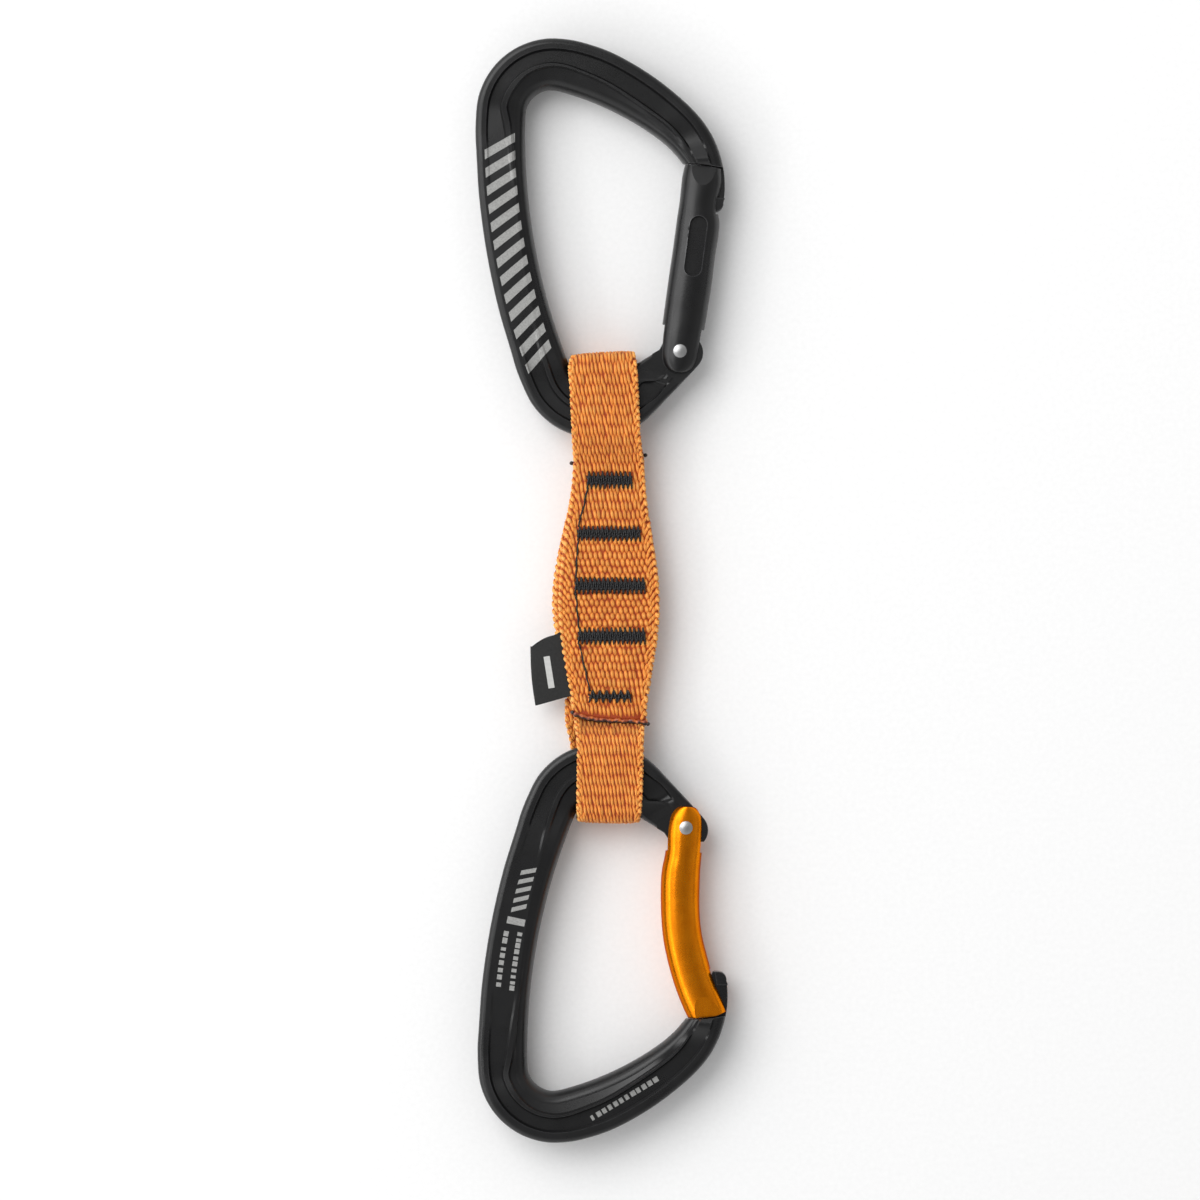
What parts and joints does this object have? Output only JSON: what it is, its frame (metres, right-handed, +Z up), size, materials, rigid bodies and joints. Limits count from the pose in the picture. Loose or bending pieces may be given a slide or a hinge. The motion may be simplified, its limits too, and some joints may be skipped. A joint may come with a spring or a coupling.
{
  "type": "climbing quickdraw",
  "caption": "Straight-gate and bent-gate keylock carabiners of black forged I-beam aluminium, joined by a short bar-tacked orange webbing sling",
  "frame": {"origin": "centre of the object's box, on the ground it lies on", "axes": "+X across the sling towards the gates, +Y along the sling towards the straight-gate carabiner, +Z up from the ground"},
  "size_m": [0.0614, 0.2686, 0.0111],
  "materials": {
    "black_anodised": "satin black anodised forging",
    "gold_anodised": "satin golden-orange anodised",
    "rivet_steel": "stainless steel, lightly worn",
    "spring_steel": "spring wire",
    "orange_webbing": "woven polyamide webbing",
    "black_thread": "bonded sewing thread",
    "label_fabric": "black woven ribbon with a plain pale mark"
  },
  "bodies": {
    "sling": {"sewn_middle": "orange_webbing", "bar_tack_1": "black_thread", "bar_tack_2": "black_thread", "bar_tack_3": "black_thread", "bar_tack_4": "black_thread", "bar_tack_5": "black_thread", "jump_thread_1": "black_thread", "jump_thread_2": "black_thread", "jump_thread_3": "black_thread", "jump_thread_4": "black_thread", "label_tab": "label_fabric"},
    "upper_carabiner": {"upper_loop": "orange_webbing", "upper_body": "black_anodised"},
    "upper_gate_arm": {"upper_gate": "black_anodised", "upper_gate_rivet": "rivet_steel", "upper_gate_spring": "spring_steel"},
    "upper_plunger": {"upper_gate_plunger": "rivet_steel"},
    "lower_carabiner": {"lower_loop": "orange_webbing", "lower_body": "black_anodised"},
    "lower_gate_arm": {"lower_gate": "gold_anodised", "lower_gate_rivet": "rivet_steel", "lower_gate_spring": "spring_steel"},
    "lower_plunger": {"lower_gate_plunger": "rivet_steel"}
  },
  "joints": [
    {"name": "upper_sling_bend", "type": "hinge", "parent": "sling", "child": "upper_carabiner", "pos_m": [0.0012, 0.0316, 0.0063], "axis": [1, 0, 0], "range_deg": [-35, 35]},
    {"name": "lower_sling_bend", "type": "hinge", "parent": "sling", "child": "lower_carabiner", "pos_m": [0.0022, -0.0316, 0.0048], "axis": [-1, 0, 0], "range_deg": [-35, 35]},
    {"name": "upper_gate_hinge", "type": "hinge", "parent": "upper_carabiner", "child": "upper_gate_arm", "pos_m": [0.01897, 0.05827, 0.00555], "axis": [0, 0, 1], "range_deg": [0, 26], "stiffness_Nm_per_rad": 0.15, "springref_deg": -45.84},
    {"name": "lower_gate_hinge", "type": "hinge", "parent": "lower_carabiner", "child": "lower_gate_arm", "pos_m": [0.02043, -0.05772, 0.00555], "axis": [0, 0, -1], "range_deg": [0, 26], "stiffness_Nm_per_rad": 0.15, "springref_deg": -45.84},
    {"name": "upper_plunger_slide", "type": "slide", "parent": "upper_gate_arm", "child": "upper_plunger", "axis": [0.1331, 0.9911, 0], "range_m": [0, 0.0006], "deforming": ["upper_gate_spring"]},
    {"name": "lower_plunger_slide", "type": "slide", "parent": "lower_gate_arm", "child": "lower_plunger", "axis": [-0.0651, -0.9979, 0], "range_m": [0, 0.0006], "deforming": ["lower_gate_spring"]}
  ],
  "couplings": [
    {"joint": "upper_plunger_slide", "follows": "upper_gate_hinge", "m_per_rad": 0.00123},
    {"joint": "lower_plunger_slide", "follows": "lower_gate_hinge", "m_per_rad": 0.00123}
  ]
}
